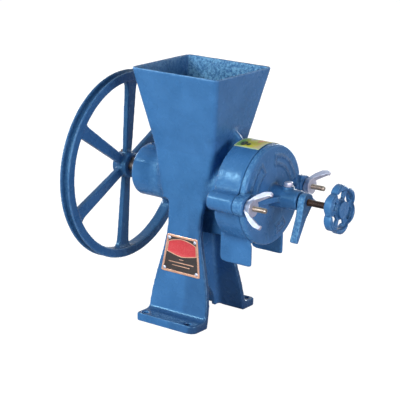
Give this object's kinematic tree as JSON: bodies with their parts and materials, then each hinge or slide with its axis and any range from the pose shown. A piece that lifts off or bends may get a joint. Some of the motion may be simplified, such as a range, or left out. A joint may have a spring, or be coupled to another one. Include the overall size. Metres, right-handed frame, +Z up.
{
  "type": "grinding mill",
  "caption": "Belt-driven plate mill for grain: square hopper on two splayed legs, spoked V-belt pulley, round grinding chamber with a chute, wing-nutted cover and setting handwheel.",
  "frame": {"origin": "centre of the four foot bolt holes, on the floor under the feet, halfway between the leg plates", "axes": "+X along the shaft from the belt pulley to the handwheel, +Y across to the back leg, +Z up"},
  "size_m": [0.422, 0.3048, 0.397],
  "materials": {
    "blue_casting": "mid-blue enamel over sand-cast iron, satin, slightly lumpy",
    "shaft_steel": "turned steel, thinly oiled",
    "bronze": "bored bronze, oiled",
    "bare_iron": "unpainted machined and cast iron",
    "chilled_iron": "hard white iron, ground on its furrowed face",
    "dark_steel": "dark brown blacked steel, oiled",
    "yellow_zinc": "yellow-tinted zinc plate, satin",
    "white_zinc": "white zinc plate, satin and slightly cast",
    "plate_copper": "pressed metal plate with a bright copper edge over plain enamel fields",
    "label_paper": "printed paper label with plain fields of colour"
  },
  "bodies": {
    "mill": {"body_casting": "blue_casting", "cover_casting": "blue_casting", "drive_bush": "bronze", "cover_bush": "bronze", "fixed_plate": "chilled_iron", "fixed_plate_screws": "dark_steel", "cover_studs": "yellow_zinc", "oil_plug": "white_zinc", "nameplate": "plate_copper", "nameplate_rivets": "white_zinc", "drum_label": "label_paper"},
    "thrust": {"thrust_ball": "shaft_steel"},
    "rotor": {"shaft": "shaft_steel", "pulley": "blue_casting", "pulley_key": "shaft_steel", "pulley_set_screw": "dark_steel", "worm_sleeve": "bare_iron", "worm_flight": "bare_iron", "worm_key": "shaft_steel", "runner_carrier": "bare_iron", "runner_plate": "chilled_iron", "runner_screws": "dark_steel", "carrier_pin": "shaft_steel"},
    "screw": {"pressure_screw": "dark_steel", "handwheel": "blue_casting", "handwheel_pin": "dark_steel"},
    "lever": {"lock_lever": "blue_casting"},
    "front_nut": {"front_wing_nut": "white_zinc"},
    "back_nut": {"back_wing_nut": "white_zinc"}
  },
  "joints": [
    {"name": "feed", "type": "slide", "parent": "mill", "child": "thrust", "axis": [1, 0, 0], "range_m": [0, 0.003]},
    {"name": "screw_turn", "type": "hinge", "parent": "thrust", "child": "screw", "pos_m": [0.2, 0, 0.219], "axis": [1, 0, 0], "range_deg": [0, 720]},
    {"name": "rotor_spin", "type": "hinge", "parent": "thrust", "child": "rotor", "pos_m": [0, 0, 0.219], "axis": [1, 0, 0], "continuous": true},
    {"name": "lever_swing", "type": "hinge", "parent": "mill", "child": "lever", "pos_m": [0.194, 0, 0.219], "axis": [-1, 0, 0], "range_deg": [0, 150]},
    {"name": "front_nut_turn", "type": "hinge", "parent": "mill", "child": "front_nut", "pos_m": [0.15, -0.08, 0.219], "axis": [1, 0, 0], "range_deg": [0, 360]},
    {"name": "back_nut_turn", "type": "hinge", "parent": "mill", "child": "back_nut", "pos_m": [0.15, 0.08, 0.219], "axis": [1, 0, 0], "range_deg": [0, 360]}
  ],
  "couplings": [
    {"joint": "screw_turn", "follows": "feed", "rad_per_m": 4188.8}
  ]
}
